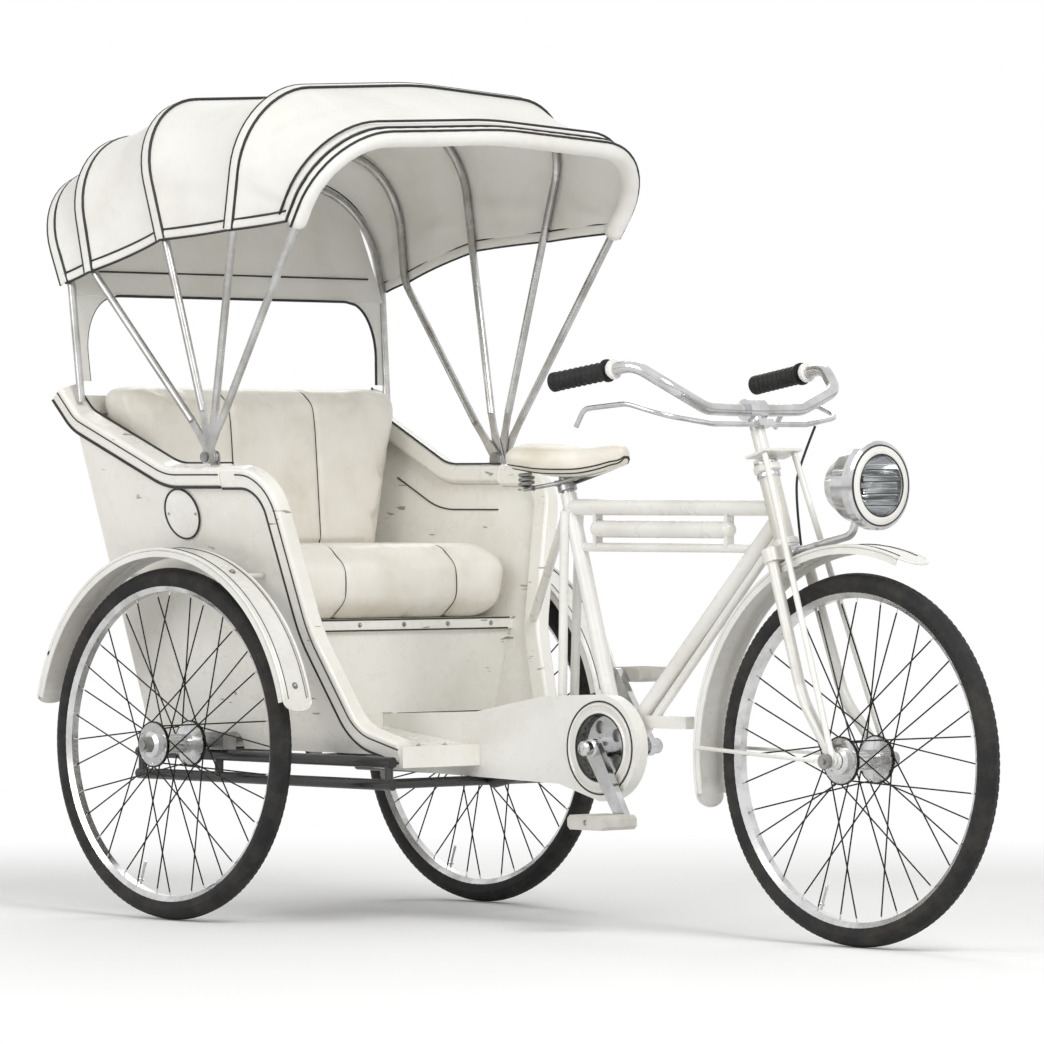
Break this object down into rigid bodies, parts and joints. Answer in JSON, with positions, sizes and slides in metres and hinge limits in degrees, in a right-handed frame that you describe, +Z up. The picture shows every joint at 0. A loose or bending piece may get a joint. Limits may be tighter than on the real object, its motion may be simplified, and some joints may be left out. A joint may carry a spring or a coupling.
{
  "type": "cycle rickshaw",
  "caption": "Pedal cycle rickshaw: bicycle front half with swept bar and bowl headlamp, open passenger tub with cushions and curved front members, folding bow hood, wire wheels.",
  "frame": {"origin": "on the ground under the middle of the vehicle's length and width", "axes": "+X forward to the front wheel, +Y to the rider's left, +Z up"},
  "size_m": [2.251, 1.008, 1.6741],
  "materials": {
    "frame_enamel": "gloss",
    "dark_enamel": "gloss",
    "chrome": "polished",
    "steel": "satin",
    "tyre": "matt",
    "rubber": "matt",
    "tub_enamel": "gloss",
    "upholstery": "satin",
    "saddle_leather": "satin",
    "hood_cloth": "matt",
    "lamp_glass": "clear",
    "disc_enamel": "gloss"
  },
  "bodies": {
    "chassis": {"chain": "steel", "head_tube": "frame_enamel", "top_tubes": "frame_enamel", "down_tubes": "frame_enamel", "seat_tube": "frame_enamel", "seat_stays": "frame_enamel", "saddle": "saddle_leather", "saddle_frame": "steel", "tool_box": "frame_enamel", "chassis_rails": "dark_enamel", "cross_tubes": "dark_enamel", "spine": "dark_enamel", "axle_bearings": "steel", "chain_case": "frame_enamel", "tub_side_right": "tub_enamel", "tub_side_left": "tub_enamel", "side_member_right": "tub_enamel", "side_member_left": "tub_enamel", "armrest_right": "tub_enamel", "armrest_left": "tub_enamel", "roundels": "disc_enamel", "tub_back": "tub_enamel", "seat_box": "tub_enamel", "tub_floor": "tub_enamel", "seat_cushion": "upholstery", "back_cushion": "upholstery", "rear_guard_right": "frame_enamel", "rear_guard_left": "frame_enamel", "hood_pivots": "steel", "hood_bow_fourth": "steel", "hood_bow_rear": "steel", "hood_cloth_front": "hood_cloth", "hood_cloth_middle": "hood_cloth", "hood_cloth_back": "hood_cloth", "hood_cloth_rear": "hood_cloth", "hood_curtain": "hood_cloth"},
    "rear_wheel_right": {"rear_wheel_right": "chrome", "rear_tyre_right": "tyre"},
    "driven_axle": {"rear_axle": "steel", "rear_wheel_left": "chrome", "rear_tyre_left": "tyre"},
    "fork": {"fork": "frame_enamel", "front_axle": "steel", "handlebar": "chrome", "grips": "rubber", "brake_cable": "rubber", "front_guard": "frame_enamel", "lamp_shell": "chrome", "lamp_glass": "lamp_glass"},
    "front_wheel": {"front_wheel": "chrome", "front_tyre": "tyre"},
    "crank": {"crank": "chrome"},
    "pedal_right": {"pedal_right": "rubber"},
    "pedal_left": {"pedal_left": "rubber"},
    "third_bow": {"hood_bow_third": "steel"},
    "second_bow": {"hood_bow_second": "steel"},
    "front_bow": {"hood_bow_front": "steel", "hood_roll": "hood_cloth"}
  },
  "joints": [
    {"name": "steering", "type": "hinge", "parent": "chassis", "child": "fork", "pos_m": [0.7206, 0, 0.352], "axis": [-0.3256, 0, 0.9455], "range_deg": [-38, 38]},
    {"name": "front_wheel_spin", "type": "hinge", "parent": "fork", "child": "front_wheel", "pos_m": [0.77348, 0, 0.352], "axis": [0, 1, 0], "continuous": true},
    {"name": "rear_wheel_right_spin", "type": "hinge", "parent": "chassis", "child": "rear_wheel_right", "pos_m": [-0.71852, -0.424, 0.352], "axis": [0, 1, 0], "continuous": true},
    {"name": "driven_axle_spin", "type": "hinge", "parent": "chassis", "child": "driven_axle", "pos_m": [-0.71852, 0, 0.352], "axis": [0, 1, 0], "continuous": true},
    {"name": "crank_spin", "type": "hinge", "parent": "chassis", "child": "crank", "pos_m": [0.13148, 0, 0.358], "axis": [0, 1, 0], "continuous": true},
    {"name": "pedal_right_spin", "type": "hinge", "parent": "crank", "child": "pedal_right", "pos_m": [0.21786, -0.134, 0.21977], "axis": [0, 1, 0], "continuous": true},
    {"name": "pedal_left_spin", "type": "hinge", "parent": "crank", "child": "pedal_left", "pos_m": [0.04511, 0.134, 0.49623], "axis": [0, 1, 0], "continuous": true},
    {"name": "hood_fold", "type": "hinge", "parent": "chassis", "child": "third_bow", "pos_m": [-0.63552, 0, 0.925], "axis": [0, -1, 0], "range_deg": [0, 14], "deforming": ["hood_cloth_back"]},
    {"name": "second_bow_fold", "type": "hinge", "parent": "third_bow", "child": "second_bow", "pos_m": [-0.63552, 0, 0.925], "axis": [0, -1, 0], "range_deg": [0, 14.2], "deforming": ["hood_cloth_middle"]},
    {"name": "front_bow_fold", "type": "hinge", "parent": "second_bow", "child": "front_bow", "pos_m": [-0.63552, 0, 0.925], "axis": [0, -1, 0], "range_deg": [0, 8.6], "deforming": ["hood_cloth_front"]}
  ],
  "couplings": [
    {"joint": "second_bow_fold", "follows": "hood_fold", "ratio": 1.0143},
    {"joint": "front_bow_fold", "follows": "hood_fold", "ratio": 0.61428}
  ]
}
